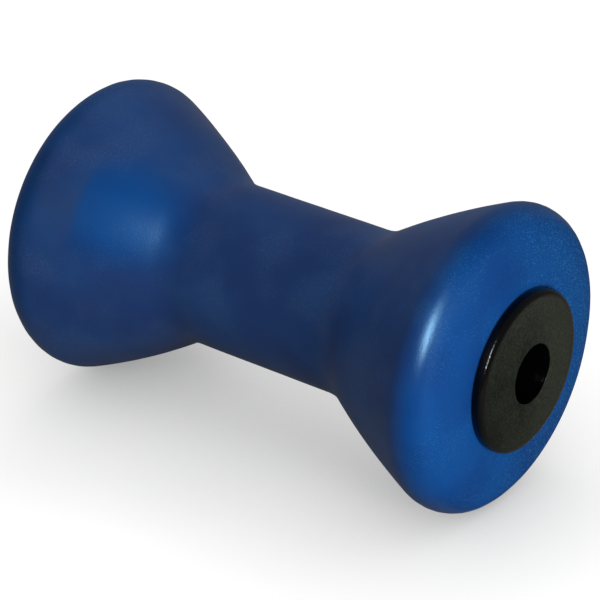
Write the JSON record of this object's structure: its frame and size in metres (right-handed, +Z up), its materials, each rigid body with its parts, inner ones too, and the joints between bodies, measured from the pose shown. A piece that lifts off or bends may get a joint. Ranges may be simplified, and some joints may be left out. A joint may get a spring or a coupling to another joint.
{
  "type": "keel roller",
  "caption": "Waisted polyurethane keel roller that turns on flanged nylon bushes and guides a boat's keel on a trailer pin.",
  "frame": {"origin": "the middle of the roller, on its axis", "axes": "+Y along the roller's axis towards the left bush, +Z up, +X the way the boat travels"},
  "size_m": [0.087, 0.159, 0.087],
  "materials": {
    "polyurethane": "satin",
    "nylon": "matte"
  },
  "bodies": {
    "bushes": {"right_bush": "nylon", "left_bush": "nylon"},
    "roller": {"roller_body": "polyurethane"}
  },
  "joints": [
    {"name": "roller_spin", "type": "hinge", "parent": "bushes", "child": "roller", "pos_m": [0, 0, 0], "axis": [0, 1, 0], "continuous": true}
  ]
}
